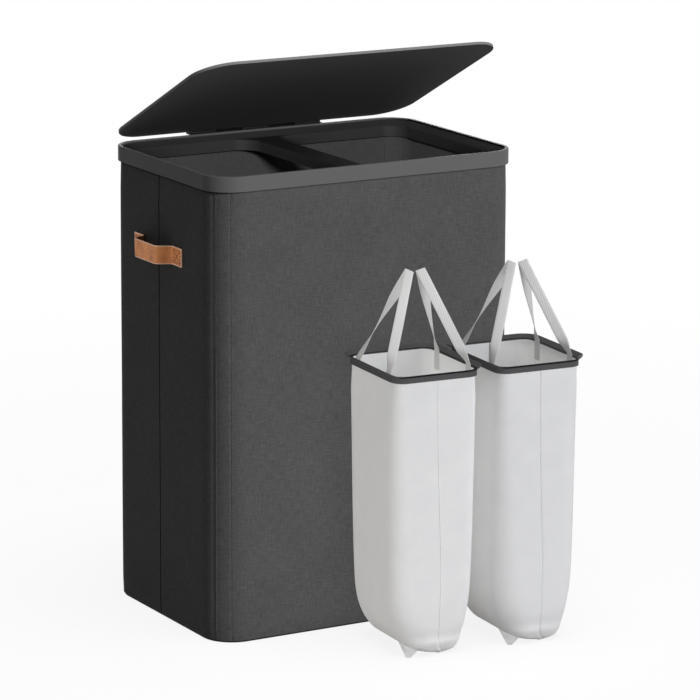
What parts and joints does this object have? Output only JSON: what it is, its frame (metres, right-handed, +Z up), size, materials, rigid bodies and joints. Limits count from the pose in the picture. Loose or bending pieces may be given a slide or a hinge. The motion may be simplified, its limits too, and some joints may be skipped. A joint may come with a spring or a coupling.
{
  "type": "laundry hamper",
  "caption": "Tall rectangular fabric laundry hamper with a hinged flat lid, a divided top frame, leather side handles and lift-out bags that hang from plastic rings.",
  "frame": {"origin": "middle of the hamper body's underside, on the surface that it stands on", "axes": "+Z up, +X to the right along the wide front, +Y from the front towards the hinge side"},
  "size_m": [0.558, 0.5905, 0.8609],
  "materials": {
    "cover": "matt charcoal linen weave",
    "lining": "matt dark plain weave",
    "board": "plain fibreboard",
    "plastic": "satin dark grey",
    "lid": "matt near-black",
    "hinge": "satin dark grey",
    "steel": "dulled steel",
    "leather": "smooth tan leather with cut edges",
    "bag": "white coated cloth",
    "webbing": "light grey webbing"
  },
  "bodies": {
    "hamper": {"base_panel": "cover", "base_board": "lining", "outer_cover": "cover", "inner_lining": "lining", "front_board": "board", "back_board": "board", "left_front_board": "board", "left_back_board": "board", "right_front_board": "board", "right_back_board": "board", "front_left_corner_strip": "board", "front_right_corner_strip": "board", "back_left_corner_strip": "board", "back_right_corner_strip": "board", "rim": "plastic", "inner_frame": "plastic", "rim_hinge_leaf": "hinge", "rim_rivet_1": "steel", "rim_rivet_2": "steel", "rim_rivet_3": "steel", "hinge_pin": "steel", "left_handle": "leather", "right_handle": "leather"},
    "lid": {"lid": "lid", "lid_hinge_leaf": "hinge", "lid_rivet_1": "steel", "lid_rivet_2": "steel", "lid_rivet_3": "steel"},
    "bag_1": {"bag_1_ring": "plastic", "bag_1_left_half": "bag", "bag_1_right_half": "bag", "bag_1_left_strap_front_foot": "webbing", "bag_1_left_strap_back_foot": "webbing", "bag_1_right_strap_front_foot": "webbing", "bag_1_right_strap_back_foot": "webbing", "bag_1_pull_tab": "webbing"},
    "bag_1_left_strap": {"bag_1_left_strap": "webbing"},
    "bag_1_right_strap": {"bag_1_right_strap": "webbing"},
    "bag_2": {"bag_2_ring": "plastic", "bag_2_left_half": "bag", "bag_2_right_half": "bag", "bag_2_left_strap_front_foot": "webbing", "bag_2_left_strap_back_foot": "webbing", "bag_2_right_strap_front_foot": "webbing", "bag_2_right_strap_back_foot": "webbing", "bag_2_pull_tab": "webbing"},
    "bag_2_left_strap": {"bag_2_left_strap": "webbing"},
    "bag_2_right_strap": {"bag_2_right_strap": "webbing"}
  },
  "joints": [
    {"name": "lid_hinge", "type": "hinge", "parent": "hamper", "child": "lid", "pos_m": [0, 0.1855, 0.7055], "axis": [-1, 0, 0], "range_deg": [-26, 74]},
    {"name": "bag_1_lift", "type": "slide", "parent": "hamper", "child": "bag_1", "axis": [0, 0, 1], "range_m": [0, 0.3]},
    {"name": "bag_1_left_strap_swing", "type": "hinge", "parent": "bag_1", "child": "bag_1_left_strap", "pos_m": [-0.06174, -0.28951, 0.4278], "axis": [-0.0698, -0.9976, 0], "range_deg": [0, 62]},
    {"name": "bag_1_right_strap_swing", "type": "hinge", "parent": "bag_1", "child": "bag_1_right_strap", "pos_m": [0.06674, -0.29849, 0.4278], "axis": [0.0698, 0.9976, 0], "range_deg": [0, 24]},
    {"name": "bag_2_lift", "type": "slide", "parent": "hamper", "child": "bag_2", "axis": [0, 0, 1], "range_m": [0, 0.3]},
    {"name": "bag_2_left_strap_swing", "type": "hinge", "parent": "bag_2", "child": "bag_2_left_strap", "pos_m": [0.10176, -0.30751, 0.4278], "axis": [-0.0698, -0.9976, 0], "range_deg": [0, 24]},
    {"name": "bag_2_right_strap_swing", "type": "hinge", "parent": "bag_2", "child": "bag_2_right_strap", "pos_m": [0.23024, -0.31649, 0.4278], "axis": [0.0698, 0.9976, 0], "range_deg": [0, 62]}
  ]
}
